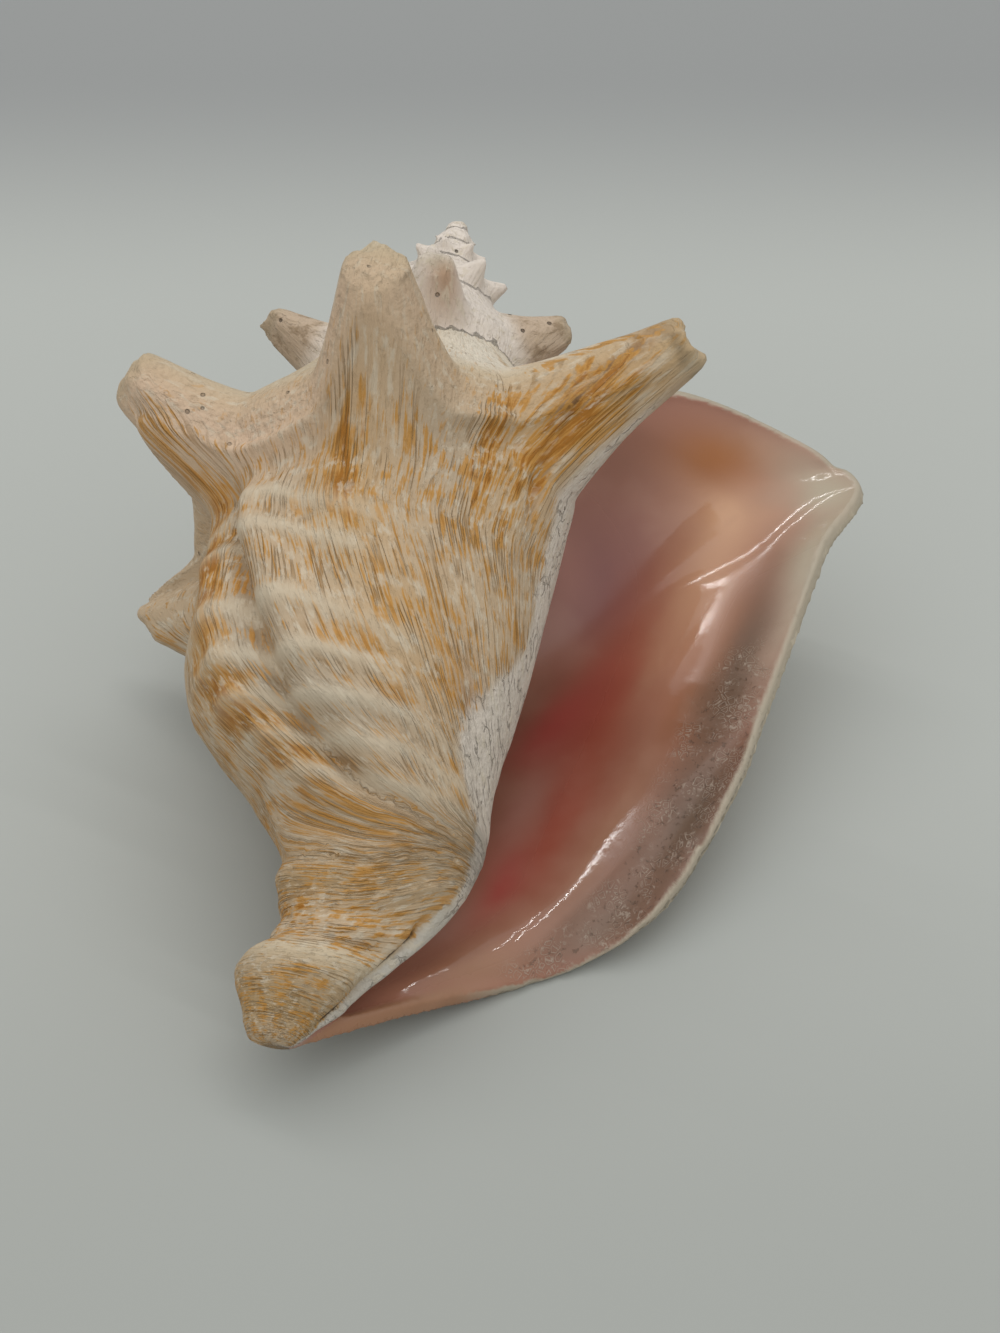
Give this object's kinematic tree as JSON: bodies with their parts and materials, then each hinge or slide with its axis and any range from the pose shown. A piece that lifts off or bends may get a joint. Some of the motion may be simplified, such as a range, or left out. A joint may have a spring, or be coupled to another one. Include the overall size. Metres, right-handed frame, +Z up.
{
  "type": "conch shell",
  "caption": "Large spiral sea shell with a spined spire, a long hollow body whorl and a wide flared lip, resting on its back with the opening up.",
  "frame": {"origin": "bottom centre of the bounding box, on the surface that the shell rests on", "axes": "+Z up from the surface; the shell's long axis points away along +Y and up, spire at the far end, canal at the near end; the flared lip spreads toward +X"},
  "size_m": [0.1892, 0.1988, 0.1399],
  "materials": {
    "shell_lime": "chalky outside, polished porcelain inside the lip"
  },
  "bodies": {
    "root": {"conch_shell": "shell_lime"}
  },
  "joints": []
}
